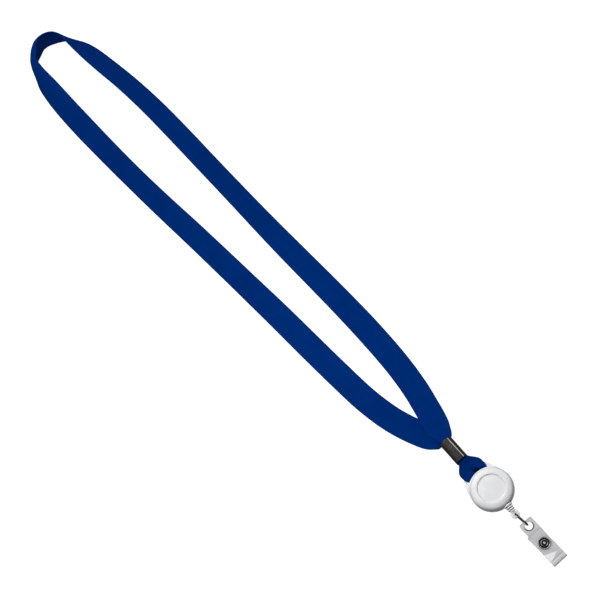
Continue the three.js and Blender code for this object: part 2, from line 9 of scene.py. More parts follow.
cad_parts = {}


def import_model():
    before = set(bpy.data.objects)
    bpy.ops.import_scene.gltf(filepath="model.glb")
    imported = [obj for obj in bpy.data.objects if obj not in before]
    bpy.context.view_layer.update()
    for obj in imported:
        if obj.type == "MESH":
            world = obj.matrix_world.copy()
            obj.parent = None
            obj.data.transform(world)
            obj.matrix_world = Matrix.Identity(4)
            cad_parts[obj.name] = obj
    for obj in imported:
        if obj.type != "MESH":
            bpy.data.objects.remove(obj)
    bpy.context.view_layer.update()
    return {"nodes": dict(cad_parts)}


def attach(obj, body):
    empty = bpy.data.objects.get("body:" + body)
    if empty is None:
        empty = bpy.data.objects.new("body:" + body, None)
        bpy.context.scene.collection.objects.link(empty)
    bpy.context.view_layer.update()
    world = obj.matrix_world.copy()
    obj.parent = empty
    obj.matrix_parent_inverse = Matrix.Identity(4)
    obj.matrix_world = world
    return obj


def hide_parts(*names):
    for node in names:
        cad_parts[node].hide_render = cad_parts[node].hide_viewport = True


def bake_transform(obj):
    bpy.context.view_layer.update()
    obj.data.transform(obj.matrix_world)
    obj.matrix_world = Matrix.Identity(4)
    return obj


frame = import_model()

MM = 0.001
WELD = 0.001 * MM  # points closer than this are one point
UP = Vector((0, 0, 1))


def smooth(x, low, high):
    t = min(max((x - low) / (high - low), 0.0), 1.0)
    return t * t * (3 - 2 * t)


def mix(a, b, t):
    return a + (b - a) * t


# ---------------------------------------------------------------- camera

# The camera looks down on the lanyard: the frame's directions across and up the picture, in metres.
CAMERA = {
    "lens": 200, "sensor_width": 36, "clip_end": 20,
    "target": (0.00667, 0, 0), "distance": 2.45,
    "right": (0.68632, 0.71742, -0.11948), "up": (-0.68632, 0.69322, 0.22003),
}


def add_camera():
    data = bpy.data.cameras.new("camera")
    for setting in ("lens", "sensor_width", "clip_end"):
        setattr(data, setting, CAMERA[setting])
    camera = bpy.data.objects.new("camera", data)
    right = Vector(CAMERA["right"]).normalized()
    back = right.cross(Vector(CAMERA["up"]).normalized()).normalized()
    turn = Matrix((right, back.cross(right), back)).transposed().to_4x4()
    camera.matrix_world = Matrix.Translation(Vector(CAMERA["target"]) + CAMERA["distance"] * back) @ turn
    bpy.context.scene.collection.objects.link(camera)
    bpy.context.scene.camera = camera


add_camera()

# ---------------------------------------------------------------- mesh helpers


def new_piece(name, mesh):
    piece = bpy.data.objects.new(name, mesh)
    bpy.context.scene.collection.objects.link(piece)
    return piece


def shade(mesh, angle=40):
    mesh.shade_smooth()
    bm = bmesh.new()
    bm.from_mesh(mesh)
    limit = math.radians(angle)
    for edge in bm.edges:
        edge.smooth = len(edge.link_faces) == 2 and edge.calc_face_angle(0) < limit
    bm.to_mesh(mesh)
    bm.free()


def mesh_from(name, points, faces, uvs=None):
    """points in mm; uvs, one for each point."""
    mesh = bpy.data.meshes.new(name)
    mesh.from_pydata([tuple(p * MM for p in point) for point in points], [], faces)
    if uvs:
        layer = mesh.uv_layers.new(name="UVMap")
        for loop in mesh.loops:
            layer.data[loop.index].uv = uvs[loop.vertex_index]
    mesh.validate()
    return mesh


def rings(name, rows, closed_rows=False, caps=True, uvs=None):
    """A skin over rows of points, each row a closed loop of the same number of points."""
    count = len(rows[0])
    points = [p for row in rows for p in row]
    faces = []
    last = len(rows) if closed_rows else len(rows) - 1
    for i in range(last):
        a, b = i * count, (i + 1) % len(rows) * count
        for j in range(count):
            k = (j + 1) % count
            faces.append((a + j, a + k, b + k, b + j))
    if caps and not closed_rows:
        faces.append(tuple(reversed(range(count))))
        faces.append(tuple(range((len(rows) - 1) * count, len(rows) * count)))
    return mesh_from(name, points, faces, uvs)


def lathe(name, profile, sides=96, closed=False):
    """Turns a profile of (radius, z) in mm about Z. An open profile starts and ends on the axis."""
    bm = bmesh.new()
    columns = []
    for i in range(sides):
        angle = 2 * math.pi * i / sides
        c, s = math.cos(angle), math.sin(angle)
        columns.append([bm.verts.new((r * c * MM, r * s * MM, z * MM)) for r, z in profile])
    for i in range(sides):
        a, b = columns[i], columns[(i + 1) % sides]
        for j in range(len(profile) if closed else len(profile) - 1):
            k = (j + 1) % len(profile)
            bm.faces.new((a[j], b[j], b[k], a[k]))
    bmesh.ops.remove_doubles(bm, verts=bm.verts, dist=WELD)
    bmesh.ops.recalc_face_normals(bm, faces=bm.faces)
    mesh = bpy.data.meshes.new(name)
    bm.to_mesh(mesh)
    bm.free()
    return mesh


def rounded(profile, radius, closed=False, steps=4):
    """The profile with each inner corner rounded to about that radius, in mm."""
    most = 0.45  # of the way to the next corner
    count = len(profile)
    out = []
    for i, (x, y) in enumerate(profile):
        if not closed and i in (0, count - 1):
            out.append((x, y))
            continue
        here = Vector((x, y))
        before = Vector(profile[i - 1]) - here
        after = Vector(profile[(i + 1) % count]) - here
        reach = min(radius, before.length * most, after.length * most)
        a, b = here + before.normalized() * reach, here + after.normalized() * reach
        for k in range(steps + 1):
            t = k / steps
            p = a * (1 - t) ** 2 + here * 2 * t * (1 - t) + b * t * t
            out.append((p.x, p.y))
    return out


def plate(name, outlines, bottom, top, bevel=0.15, steps=3):
    """A flat plate from closed outlines in mm, the first the outer one, with rounded edges."""
    curve = bpy.data.curves.new(name, "CURVE")
    curve.dimensions = "2D"
    curve.fill_mode = "BOTH"
    curve.extrude = ((top - bottom) / 2 - bevel) * MM
    curve.bevel_depth = bevel * MM
    curve.bevel_resolution = steps
    curve.offset = -bevel * MM
    for outline in outlines:
        spline = curve.splines.new("POLY")
        spline.points.add(len(outline) - 1)
        for point, (x, y) in zip(spline.points, outline):
            point.co = (x * MM, y * MM, 0, 1)
        spline.use_cyclic_u = True
    holder = bpy.data.objects.new(name, curve)
    mesh = bpy.data.meshes.new_from_object(holder)
    bpy.data.objects.remove(holder)
    bm = bmesh.new()
    bm.from_mesh(mesh)
    bmesh.ops.remove_doubles(bm, verts=bm.verts, dist=2 * WELD)
    bmesh.ops.translate(bm, verts=bm.verts, vec=(0, 0, (top + bottom) / 2 * MM))
    bmesh.ops.recalc_face_normals(bm, faces=bm.faces)
    bm.to_mesh(mesh)
    bm.free()
    return mesh


def apply_modifiers(piece):
    graph = bpy.context.evaluated_depsgraph_get()
    mesh = bpy.data.meshes.new_from_object(piece.evaluated_get(graph))
    piece.modifiers.clear()
    piece.data = mesh


def boolean(piece, tools, operation):
    for tool in tools:
        modifier = piece.modifiers.new("cut", "BOOLEAN")
        modifier.solver = "EXACT"
        modifier.operation = operation
        modifier.object = tool
    apply_modifiers(piece)
    for tool in tools:
        bpy.data.objects.remove(tool)


def map_from(mesh, uv_at):
    """Gives the mesh a UV map from its own shape: uv_at(x, y, z) in metres."""
    layer = mesh.uv_layers.new(name="UVMap")
    for loop in mesh.loops:
        layer.data[loop.index].uv = uv_at(*mesh.vertices[loop.vertex_index].co)


def cutter(mesh, place=Matrix.Identity(4)):
    tool = new_piece("tool", mesh)
    tool.matrix_world = place
    return tool


def block(size, centre):
    x, y, z = (side / 2 for side in size)
    corners = [(sx * x, sy * y, sz * z) for sx in (-1, 1) for sy in (-1, 1) for sz in (-1, 1)]
    points = [tuple(c + o for c, o in zip(corner, centre)) for corner in corners]
    faces = [(0, 1, 3, 2), (4, 6, 7, 5), (0, 4, 5, 1), (2, 3, 7, 6), (0, 2, 6, 4), (1, 5, 7, 3)]
    return mesh_from("block", points, faces)


def place(x, y, z=0.0, yaw=0.0):
    return Matrix.Translation(Vector((x, y, z)) * MM) @ Matrix.Rotation(math.radians(yaw), 4, "Z")


def put(piece, matrix):
    piece.data.transform(matrix)
    return piece


# ---------------------------------------------------------------- materials

class Nodes:
    """A material's node tree, with its own short way of adding and linking nodes."""

    def __init__(self, name):
        self.material = bpy.data.materials.new(name)
        self.material.use_nodes = True
        self.tree = self.material.node_tree
        self.shader = self.tree.nodes["Principled BSDF"]

    def add(self, kind, **settings):
        node = self.tree.nodes.new("ShaderNode" + kind)
        for key, value in settings.items():
            setattr(node, key, value)
        return node

    def link(self, source, target):
        self.tree.links.new(source, target)

    def feed(self, socket, value):
        if hasattr(value, "is_linked"):
            self.link(value, socket)
        else:
            socket.default_value = value

    def math(self, operation, a, b=0.0, clamp=False):
        node = self.add("Math", operation=operation, use_clamp=clamp)
        self.feed(node.inputs[0], a)
        self.feed(node.inputs[1], b)
        return node.outputs[0]

    def noise(self, scale, detail=3.0, vector=None, roughness=0.55):
        node = self.add("TexNoise")
        node.inputs["Scale"].default_value = scale
        node.inputs["Detail"].default_value = detail
        node.inputs["Roughness"].default_value = roughness
        self.link(vector or self.coordinates("Object"), node.inputs["Vector"])
        return node.outputs["Fac"]

    def coordinates(self, kind):
        return self.add("TexCoord").outputs[kind]

    def split(self, vector):
        node = self.add("SeparateXYZ")
        self.link(vector, node.inputs[0])
        return node.outputs

    def between(self, factor, low, high, start=0.0, end=1.0):
        """low where the factor is at the start, and high where it is at the end."""
        node = self.add("MapRange", clamp=True)
        self.feed(node.inputs["Value"], factor)
        node.inputs["From Min"].default_value = start
        node.inputs["From Max"].default_value = end
        node.inputs["To Min"].default_value = low
        node.inputs["To Max"].default_value = high
        return node.outputs[0]

    def times(self, a, b):
        return self.math("MULTIPLY", a, b)

    def plus(self, a, b):
        return self.math("ADD", a, b)

    def minus(self, a, b):
        return self.math("SUBTRACT", a, b)

    def wave(self, value, pitch):
        """A sine of that pitch in mm along the value, which is in metres."""
        return self.math("SINE", self.times(value, 2 * math.pi / (pitch * MM)))

    def distance(self, x, y):
        return self.math("SQRT", self.plus(self.math("POWER", x, 2), self.math("POWER", y, 2)))

    def band(self, value, centre, half):
        """1 where the value is at the centre, falling to 0 at half away from it, both in mm."""
        off = self.math("ABSOLUTE", self.minus(value, centre * MM))
        return self.between(off, 1, 0, 0, half * MM)

    def colours(self, factor, *stops):
        node = self.add("ValToRGB")
        ramp = node.color_ramp
        while len(ramp.elements) < len(stops):
            ramp.elements.new(0.5)
        for element, (position, colour) in zip(ramp.elements, stops):
            element.position = position
            element.color = (*colour, 1)
        self.feed(node.inputs[0], factor)
        return node.outputs[0]

    def bump(self, height, strength, distance):
        node = self.add("Bump")
        node.inputs["Strength"].default_value = strength
        node.inputs["Distance"].default_value = distance
        self.link(height, node.inputs["Height"])
        self.link(node.outputs[0], self.shader.inputs["Normal"])

    def set(self, **values):
        for key, value in values.items():
            self.feed(self.shader.inputs[key.replace("_", " ")], value)


def strap_material():
    """Flat woven polyester: fine cross ribs over the warp threads, and painted shade darkening the loop's
    dent.
    """
    n = Nodes("strap_weave")
    rib_pitch, warp_pitch = 0.62, 0.5
    u, v, _ = n.split(n.coordinates("UV"))
    threads = n.plus(n.times(n.wave(u, rib_pitch), 0.6), n.times(n.wave(v, warp_pitch), 0.4))
    weave = n.between(threads, 0, 1, -1, 1)
    fibre = n.noise(900, 4)
    patches = n.noise(45, 2)
    tone = n.plus(n.times(weave, 0.35), n.times(patches, 0.5))
    tone = n.plus(tone, n.times(fibre, 0.15))
    # painted shade: darker by the depth of the loop's dent against the reel
    hollow = n.add("Attribute", attribute_name="hollow").outputs["Fac"]
    tone = n.minus(tone, n.times(hollow, 1.1))
    n.set(Base_Color=n.colours(tone, (0.0, (0.0, 0.005, 0.03)), (0.25, (0.0, 0.0142, 0.0985)),
                               (0.8, (0.0, 0.0195, 0.131))),
          Roughness=n.between(fibre, 0.78, 0.95), Specular_IOR_Level=0.0,
          Sheen_Weight=0.1, Sheen_Roughness=0.45, Sheen_Tint=(0.0, 0.2, 0.8, 1))
    n.bump(n.plus(n.times(weave, 0.8), n.times(fibre, 0.35)), 0.5, 0.1 * MM)
    return n.material


def plastic_material(name, dark, light, roughness, grain=0.03, scatter=0.0):
    """Moulded plastic: faint mottling, fine surface grain and slightly uneven gloss."""
    n = Nodes(name)
    n.set(Base_Color=n.colours(n.noise(120, 3), (0.3, dark), (0.7, light)),
          Roughness=n.between(n.noise(300, 2), roughness - 0.05, roughness + 0.07),
          Subsurface_Weight=scatter, Subsurface_Radius=(1.0, 1.0, 1.0), Subsurface_Scale=0.8 * MM)
    n.bump(n.noise(2600, 3), grain, 0.05 * MM)
    return n.material


def metal_material(name, dark, light, roughness, scale=220):
    """Plated metal with faint handling marks."""
    n = Nodes(name)
    smudge = n.noise(scale, 4)
    n.set(Metallic=1.0, Base_Color=n.colours(smudge, (0.3, dark), (0.7, light)),
          Roughness=n.between(smudge, roughness - 0.05, roughness + 0.09))
    n.bump(n.noise(1800, 2), 0.04, 0.05 * MM)
    return n.material


def fitting_material():
    """Moulded plastic with painted shade in its grooves and round the hole in its eye. UV is (along, out from
    the axis).
    """
    n = Nodes("fitting_plastic")
    along, out, _ = n.split(n.coordinates("UV"))
    # painted shade: dark where the body is thinner than the ribs, in its grooves; from the neck on to the
    # eye, nearly as light as the ribs
    ridge = n.between(out, 0, 1, 2.1 * MM, 2.7 * MM)
    ring = n.between(along, 0, 1, 5.3 * MM, 5.9 * MM)
    tone = n.math("MAXIMUM", ridge, n.times(ring, 0.82))
    from_eye = n.distance(n.minus(along, EYE_X * MM), out)
    # painted shade round the hole in the eye
    tone = n.minus(tone, n.band(from_eye, 1.15, 0.95))
    tone = n.times(tone, n.between(n.noise(120, 3), 0.9, 1.0))
    n.set(Base_Color=n.colours(tone, (0.0, (0.16, 0.155, 0.15)), (1.0, (0.68, 0.685, 0.695))),
          Roughness=n.between(n.noise(300, 2), 0.26, 0.38))
    n.bump(n.noise(2600, 3), 0.03, 0.05 * MM)
    return n.material


def cap_material():
    """Dark nickel with painted reflections: bright bands on its raised rings and in its middle. UV is the
    place on the cap, from its middle.
    """
    n = Nodes("cap_nickel")
    x, y, _ = n.split(n.coordinates("UV"))
    radius = n.distance(x, y)
    wear_and_glint = n.noise(420, 3)
    patchy = n.between(wear_and_glint, 0, 1.3, 0.38, 0.62)
    glint_breakup = n.plus(patchy, 0.3)
    # painted reflections: bright bands at the outer ring, the inner ring and the middle, broken up by noise
    outer_glint = n.times(n.band(radius, 3.95, 0.35), glint_breakup)
    inner = n.times(n.band(radius, 2.4, 0.5), patchy)
    middle = n.times(n.band(radius, 0.5, 0.7), glint_breakup)
    tone = n.math("ADD", outer_glint, n.plus(n.times(inner, 0.4), n.times(middle, 0.5)), True)
    n.set(Metallic=1.0, Base_Color=n.colours(tone, (0.0, (0.014, 0.013, 0.0125)), (1.0, (1.0, 0.99, 0.98))),
          Roughness=n.between(wear_and_glint, 0.08, 0.2))
    n.bump(wear_and_glint, 0.1, 0.1 * MM)
    return n.material


def crimp_material():
    """Black nickel plate, rough where the crimping tool has pressed it. UV is (along, across)."""
    n = Nodes("crimp_nickel")
    x, y, _ = n.split(n.coordinates("UV"))
    pressed = n.between(n.math("ABSOLUTE", x), 1, 0, 3.2 * MM, 5.2 * MM)
    pressed = n.times(pressed, n.between(y, 1, 0, 0.6 * MM, 1.4 * MM))
    dints = n.noise(1500, 2, roughness=0.7)
    smudge = n.noise(260, 4)
    tone = n.plus(smudge, n.times(n.minus(dints, 0.5), n.times(pressed, 2.5)))
    n.set(Metallic=1.0, Base_Color=n.colours(tone, (0.1, (0.03, 0.028, 0.027)), (0.7, (0.075, 0.07, 0.067))),
          Roughness=n.plus(n.between(smudge, 0.05, 0.1), n.times(pressed, 0.12)))
    n.bump(n.times(dints, pressed), 0.6, 0.3 * MM)
    return n.material


# Lines across the vinyl strip in mm: distance from the tab's end, half width and how much lighter.
# They are painted highlights and shade: light over the fold's outer curve, a light and a dark line where the
# fold meets the flap, and dark lines for the edge at the flap's free end.
VINYL_PAINTED_LINES = [(40.2, 2.8, 0.7), (45.0, 0.6, -0.25), (43.5, 0.8, 0.2), (69.4, 0.5, -0.45), (68.2, 0.6, -0.2)]
# Places along the strip in mm from the tab's end: the hole, the snap in the flap, and the painted sheen on
# the flap.
HOLE_AT, SNAP_AT, SHEEN_AT = 4.8, 58.0, 47.9


def vinyl_material():
    """Flexible clear vinyl with a grey cast. U runs along the strip from the tab, and V across it."""
    n = Nodes("vinyl")
    u, v, _ = n.split(n.coordinates("UV"))
    cloud = n.noise(150, 2)
    tone = n.plus(n.times(cloud, 0.2), 0.5)
    # painted highlight and shade lines across the strip
    for centre, half, weight in VINYL_PAINTED_LINES:
        tone = n.plus(tone, n.times(n.band(u, centre, half), weight))
    # painted shade: a dark ring at the hole's cut edge, thicker towards the snap
    across = n.minus(u, HOLE_AT * MM)
    side = n.between(across, 0, 1, -1.5 * MM, 1.0 * MM)
    hole_rim_shade = n.times(n.band(n.distance(across, v), 3.0, 1.1), side)
    tone = n.minus(tone, n.times(hole_rim_shade, 1.6))
    # painted shade: darker round the snap
    across = n.minus(u, SNAP_AT * MM)
    tone = n.minus(tone, n.times(n.band(n.distance(across, v), 4.6, 2.6), 0.14))
    # painted highlight: a paler wedge on the flap between the snap and the fold, narrowing along V
    spread = n.minus(3.9 * MM, n.times(n.plus(v, 6.4 * MM), 0.43))
    off = n.math("ABSOLUTE", n.minus(u, SHEEN_AT * MM))
    tone = n.plus(tone, n.times(n.between(n.minus(spread, off), 0, 1, 0, 0.5 * MM), 0.3))
    n.set(Base_Color=n.colours(tone, (0.0, (0.04, 0.035, 0.035)), (0.35, (0.33, 0.333, 0.345)),
                               (0.6, (0.46, 0.463, 0.48)), (1.0, (0.8, 0.805, 0.82))),
          Roughness=n.between(cloud, 0.16, 0.28), Specular_IOR_Level=0.6,
          Coat_Weight=0.4, Coat_Roughness=0.12, Alpha=0.85)
    n.bump(n.noise(420, 2), 0.06, 0.2 * MM)
    return n.material


def cord_material():
    """Braided nylon cord: crossing strands."""
    n = Nodes("cord_braid")
    strand_pitch = 0.5
    x, _, z = n.split(n.coordinates("Object"))
    left = n.wave(n.plus(x, z), strand_pitch)
    right = n.wave(n.minus(x, z), strand_pitch)
    braid = n.math("ABSOLUTE", n.times(left, right))
    n.set(Base_Color=n.colours(braid, (0.0, (0.62, 0.62, 0.6)), (0.7, (0.82, 0.82, 0.79))),
          Roughness=n.between(braid, 0.5, 0.7), Sheen_Weight=0.3, Sheen_Roughness=0.5)
    n.bump(braid, 0.4, 0.06 * MM)
    return n.material


EYE_X = 9.1  # the end fitting's eye, in mm from where the cord comes out

STRAP = strap_material()
CRIMP = crimp_material()
REEL_WHITE = plastic_material("reel_white", (0.55, 0.553, 0.56), (0.585, 0.588, 0.595), 0.36, scatter=0.05)
REEL_FROSTED = plastic_material("reel_frosted", (0.57, 0.575, 0.585), (0.61, 0.615, 0.625), 0.45, scatter=0.2)
FITTING = fitting_material()
CAP = cap_material()
VINYL = vinyl_material()
SNAP = metal_material("snap_nickel", (0.022, 0.021, 0.02), (0.045, 0.043, 0.042), 0.1)
WIRE = metal_material("wire_nickel", (0.04, 0.04, 0.04), (0.09, 0.09, 0.09), 0.14)
STEEL = metal_material("spring_steel", (0.24, 0.25, 0.27), (0.34, 0.35, 0.37), 0.3)
CORD = cord_material()


def finish(piece, material, slot, *nodes):
    """Gives the piece its material, and hides the CAD nodes that it replaces; the slot is not used."""
    piece.data.materials.clear()
    piece.data.materials.append(material)
    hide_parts(*nodes)


# ---------------------------------------------------------------- strap

WIDTH = 19.0
THICK = 0.8
GATHERED = 7.2  # the strap's width inside the crimp sleeve
LOWER, UPPER = 2.85, 5.25  # heights of the two layers in the sleeve
# The neck strap's middle line in mm: x, y, height of the lower edge, roll in degrees, width. Round the
# back of the neck it also bulges outwards across its width, by the last number.
NECK_ROUTE = [
    (168.2, 1.35, LOWER, 0, GATHERED), (163, 1.7, LOWER, 0, GATHERED), (159.2, 1.9, LOWER, 0, GATHERED),
    (156.8, 1.25, 2.6, 0, 10.2), (152.6, -1.6, 2.1, 0, 15.2), (147.5, -4.7, 1.2, 2, 18),
    (140, -7.6, 0.5, 4, WIDTH), (131, -10.9, 0.2, 6, WIDTH), (117, -14.7, 0, 7, WIDTH),
    (95, -17.7, 0, 5, WIDTH), (66, -18.7, 0, 2, WIDTH), (36, -19.2, 0, 8, WIDTH),
    (6, -19.5, 0, 15, WIDTH), (-25, -20.2, 0, 22, WIDTH), (-55, -20.9, 0, 26, WIDTH),
    (-86, -21.8, 0, 29, WIDTH), (-117, -23, 0, 33, WIDTH), (-148, -23.7, 0, 35, WIDTH),
    (-179, -23.7, 0, 33, WIDTH), (-206, -23.2, 0, 31, WIDTH, 0.4), (-226, -22.4, 0, 33, WIDTH, 1.2),
    (-241, -21.2, 0, 37, WIDTH, 2.5), (-251, -19.9, 0, 46, WIDTH, 3.4),
    (-259.7, -17, 0, 66, WIDTH, 4.4), (-266.2, -13.5, 0, 82, WIDTH, 4.6),
    (-270, -8.3, 0, 94, WIDTH, 5.9), (-273.5, -2.8, 0, 107, WIDTH, 5.7),
    (-273.3, 2.3, 0, 109, WIDTH, 4.7), (-270, 8, 0, 103, WIDTH, 3.1), (-264.2, 12.4, 0, 85, WIDTH, 2),
    (-257, 15.6, 0, 63, WIDTH, 1.7), (-249, 17.8, 0, 49, WIDTH, 1.4), (-240, 19.2, 0, 41, WIDTH, 0.9),
    (-226, 20.7, 0, 37, WIDTH, 0.4), (-206, 22.6, 0, 35, WIDTH), (-180, 23.7, 0, 32, WIDTH),
    (-149, 23.4, 0, 30, WIDTH), (-118, 22.5, 0, 30, WIDTH), (-87, 21.7, 0, 29, WIDTH),
    (-56, 20.9, 0, 25, WIDTH), (-25, 20.5, 0, 18, WIDTH), (5, 20.4, 0, 13, WIDTH),
    (35, 20.1, 0, 8, WIDTH), (65, 19.1, 0, 2, WIDTH), (94, 16.8, 0.2, 3, WIDTH),
    (116, 13.3, 0.7, 3, WIDTH), (131, 9.6, 1.6, 0, WIDTH), (140, 7.2, 2.1, 0, WIDTH),
    (147.5, 5.1, 2.8, 0, 18), (152.6, 3.9, 4, 0, 15), (156.8, 2.5, 5, 0, 10.6),
    (159.2, 1.9, UPPER, 0, GATHERED), (163, 1.7, UPPER, 0, GATHERED), (168.2, 1.35, UPPER, 0, GATHERED),
]
MOUTH = 159.4  # the crimp sleeve's end on the neck side
# How far each strand's outer edge flares past its route where it leaves the sleeve: x and flare.
LOWER_FLARE = [(MOUTH, 1.4), (158.8, 2.2), (158.2, 2.0), (156.8, 1.3), (152.6, 0.3), (147.5, 0)]
UPPER_FLARE = [(MOUTH, 0.9), (158.6, 1.4), (156.8, 0.9), (152.6, 0)]
REEL = (207.4, 1.1)  # the reel's centre
LOOP_MOUTH = -29.6  # the sleeve's end on the loop's side, from the reel's centre
SPREAD = 18.4  # the loop's width at the reel
# The loop's middle line in mm: x from the reel's centre, and height. The upper layer comes first.
LOOP_ROUTE = [
    (-38.4, 6.3), (-34, 6.3), (-29.6, 6.3), (-26.4, 5.9), (-23.2, 4.8), (-20.8, 4), (-18.8, 3.95),
    (-17.75, 3.6), (-17.4, 2.45), (-17.75, 1.3), (-18.8, 0.95), (-20.8, 0.95), (-23.4, 1.7),
    (-26.6, 3.1), (-29.6, 3.9), (-34, 3.9), (-38.4, 3.9),
]


UNIFORM, CENTRIPETAL = 0, 0.25  # the powers of a Catmull-Rom curve's knot spacing


def spline(points, t, power):
    """A Catmull-Rom curve through the points, t from 0 to 1."""
    where = t * (len(points) - 1)
    i = min(int(where), len(points) - 2)
    w = where - i
    p1, p2 = points[i], points[i + 1]
    p0 = points[i - 1] if i else 2 * p1 - p2
    p3 = points[i + 2] if i + 2 < len(points) else 2 * p2 - p1
    spans = ((p0, p1), (p1, p2), (p2, p3))
    d0, d1, d2 = ((b - a).length_squared ** power if power else 1.0 for a, b in spans)
    m1 = ((p1 - p0) / d0 - (p2 - p0) / (d0 + d1) + (p2 - p1) / d1) * d1
    m2 = ((p2 - p1) / d1 - (p3 - p1) / (d1 + d2) + (p3 - p2) / d2) * d1
    return p1 + m1 * w + (3 * (p2 - p1) - 2 * m1 - m2) * w ** 2 + (2 * (p1 - p2) + m1 + m2) * w ** 3


def direction(line, t, steps):
    """Which way the curve runs at t."""
    step = 0.2 / steps
    ahead = spline(line, min(t + step, 1), CENTRIPETAL)
    behind = spline(line, max(t - step, 0), CENTRIPETAL)
    return (ahead - behind).normalized()


def neck_rows(steps_per_span=14):
    """(middle, along, across, width, bulge, gather, flare) along the neck strap, in mm."""
    line = [Vector((x, y, 0)) for x, y, *_ in NECK_ROUTE]
    pose = [Vector((lift, roll, width)) for _, _, lift, roll, width, *_ in NECK_ROUTE]
    bulges = [Vector((row[5] if len(row) > 5 else 0.0, 0, 0)) for row in NECK_ROUTE]
    steps = steps_per_span * (len(line) - 1)
    rows = []
    for k in range(steps + 1):
        t = k / steps
        lift, roll, width = spline(pose, t, UNIFORM)
        along = direction(line, t, steps)
        angle = math.radians(roll)
        across = UP.cross(along) * math.cos(angle) - UP * math.sin(angle)
        middle = spline(line, t, CENTRIPETAL)
        bulge = spline(bulges, t, UNIFORM).x
        chord = width - 8 * bulge * bulge / (3 * width)
        middle.z = max(lift, 0) + (chord * math.sin(angle) + THICK * abs(math.cos(angle))) / 2
        flare = along_list(LOWER_FLARE if t < 0.5 else UPPER_FLARE, middle.x)
        rows.append((middle, along, across, chord, bulge, 1 - smooth(width, 8, WIDTH), flare))
    return rows


def along_list(points, x):
    """Straight lines through (x, value) points listed from high x to low. Zero past both ends."""
    for (x0, v0), (x1, v1) in zip(points, points[1:]):
        if x1 <= x <= x0:
            return mix(v1, v0, (x - x1) / (x0 - x1))
    return 0.0


def loop_rows(steps=220):
    """The same along the loop. It spreads out of the sleeve, swells, and narrows again into the slot."""
    line = [Vector((x + REEL[0], REEL[1], z)) for x, z in LOOP_ROUTE]
    across = Vector((0, 1, 0))
    rows = []
    for k in range(steps + 1):
        t = k / steps
        middle = spline(line, t, CENTRIPETAL)
        along = direction(line, t, steps)
        x = middle.x - REEL[0]
        width = mix(GATHERED, SPREAD, smooth(x, LOOP_MOUTH, -23.6))
        if x > LOOP_MOUTH - 0.1:
            width += 2.6 * (1 - smooth(x, LOOP_MOUTH, -23)) - 0.8 * smooth(x, -21, -17)
            swell = smooth(x, -28, -25) * (1 - smooth(x, -20.5, -17.5))
            width += 1.2 * swell
            middle.y += 0.7 * smooth(x, -27, -23) - 0.3 * smooth(x, -20, -16) - 0.6 * swell
            if k < steps / 2:
                middle.z += 1.1 * (1 - smooth(x, -28.6, -25.5))
        rows.append((middle, along, across, width, 0.0, 1 - smooth(width, 9, 18), 0.0))
    return rows


def crease(x, y):
    """The dent that the strap's upper layer takes where it is squeezed against the reel."""
    line = 1.9 + 0.4 * (x + 18)
    spread = mix(0.8, 2.6, smooth(x, -22.5, -16))
    return smooth(x, -23.5, -18.5) * math.exp(-((y - line) / spread) ** 2)


def across_section(lane, row):
    """At that lane: a point midway through the strap, the way up, half its thickness and the pleat's lift."""
    middle, along, across, width, bulge, gather, flare = row
    edge = (0.5 - abs(lane)) * WIDTH
    rounded_edge = math.sqrt(max(0.0, 1 - max(0.0, 1 - edge / (THICK / 2)) ** 2))
    groove = 0.06 * math.exp(-((edge - 1.3) / 0.25) ** 2)
    pleat = gather * 0.35 * math.cos(lane * 6 * math.pi)
    slope = across * width - along.cross(across) * (8 * lane * bulge)
    up = along.cross(slope).normalized()
    out = lane * width + flare * max(0.0, 2 * lane)
    point = middle + across * out + along.cross(across) * (bulge * (1 - 4 * lane * lane))
    return point, up, THICK / 2 * rounded_edge - groove, pleat


def settle(point, middle):
    """Bends the loop's point round the reel and into its dent, and returns the dent's depth."""
    if middle.x <= REEL[0] + LOOP_MOUTH or point.x <= REEL[0] + LOOP_MOUTH - 0.4:
        return 0.0
    y = point.y - REEL[1]
    bar = 17.4
    sag = bar - math.sqrt(bar ** 2 - y * y)
    point.x += sag * smooth(point.x, REEL[0] + LOOP_MOUTH, REEL[0] - 20.8)
    if middle.z <= 3:
        return 0.0
    hollow = crease(point.x - REEL[0], y)
    point.z -= hollow
    return hollow


def strap():
    """The whole strap as one woven piece: round the neck, through the sleeve and round the slot bar."""
    rows = neck_rows() + loop_rows()
    lanes = [0.5 - x / WIDTH for x in (0, 0.1, 0.25, 0.4, 1.0, 1.3, 1.6, 3.2, 5.2, 7.3, 9.5)]
    lanes += [-x for x in reversed(lanes[:-1])]
    skin, uvs, centres, hollows = [], [], [], []
    travelled, previous = 0.0, None
    for row in rows:
        middle = row[0]
        if previous is not None:
            travelled += (middle - previous).length
        previous = middle
        centres.append(middle * MM)
        section = []
        for side in (1, -1):
            for lane in (lanes if side == 1 else lanes[::-1]):
                point, up, depth, pleat = across_section(lane, row)
                point += up * (side * depth + pleat)
                hollows.append(settle(point, middle))
                section.append(tuple(point))
                uvs.append((travelled * MM, lane * WIDTH * MM))
        skin.append(section)
    mesh = rings("strap", skin, uvs=uvs)
    # the dent's depth, which the strap material turns into painted shade
    mark = mesh.attributes.new("hollow", "FLOAT", "POINT")
    mark.data.foreach_set("value", hollows)
    shade(mesh, 60)
    piece = new_piece("strap", mesh)
    finish(piece, STRAP, "strap_fabric", "neck_strap", "reel_loop")
    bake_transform(piece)


strap()

# ---------------------------------------------------------------- crimp sleeve

CRIMP_PLACE = place(168.6, 1.25, 5.1, -3.2)


